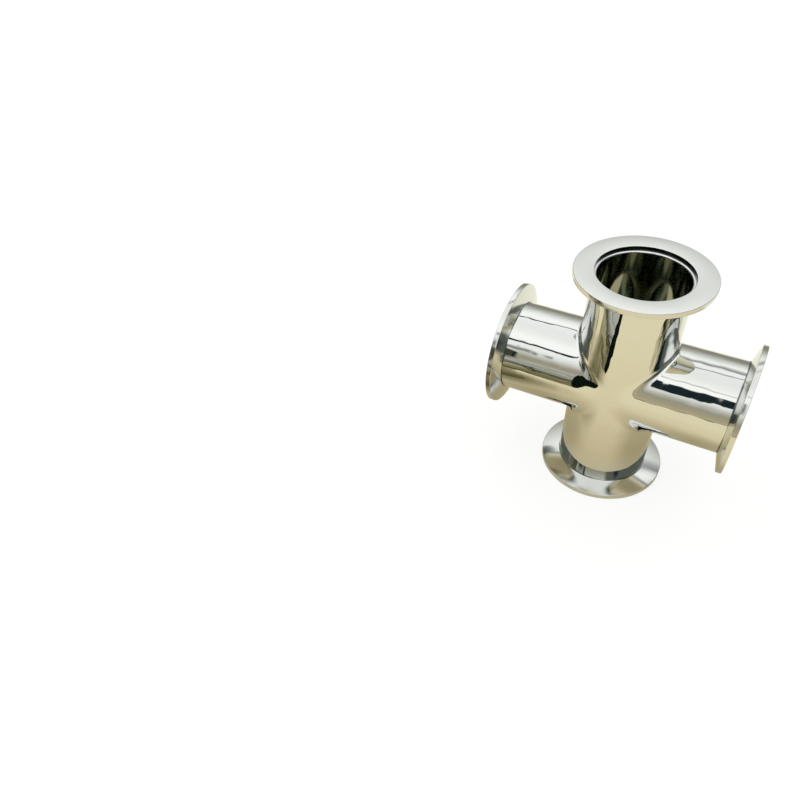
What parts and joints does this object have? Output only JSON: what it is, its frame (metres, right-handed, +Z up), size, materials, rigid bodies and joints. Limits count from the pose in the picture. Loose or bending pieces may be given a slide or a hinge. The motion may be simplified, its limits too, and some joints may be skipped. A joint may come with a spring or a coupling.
{
  "type": "vacuum cross fitting",
  "caption": "Four-way vacuum cross: two polished steel tubes crossing at right angles, with a quick-release clamping flange on every end.",
  "frame": {"origin": "crossing of the two tube centre lines, half way between opposite sealing faces", "axes": "+Z up the run tube out of the top flange, +X along the branch tube out of the right flange, +Y completes the frame and points to the back as pictured"},
  "size_m": [0.14, 0.075, 0.14],
  "materials": {
    "polished_tube": "mirror-polished stainless steel outside, drawn tube finish inside",
    "turned_flange": "stainless steel, finely turned, with bright sloping backs"
  },
  "bodies": {
    "root": {"cross_body": "polished_tube", "flange_top": "turned_flange", "flange_bottom": "turned_flange", "flange_right": "turned_flange", "flange_left": "turned_flange"}
  },
  "joints": []
}
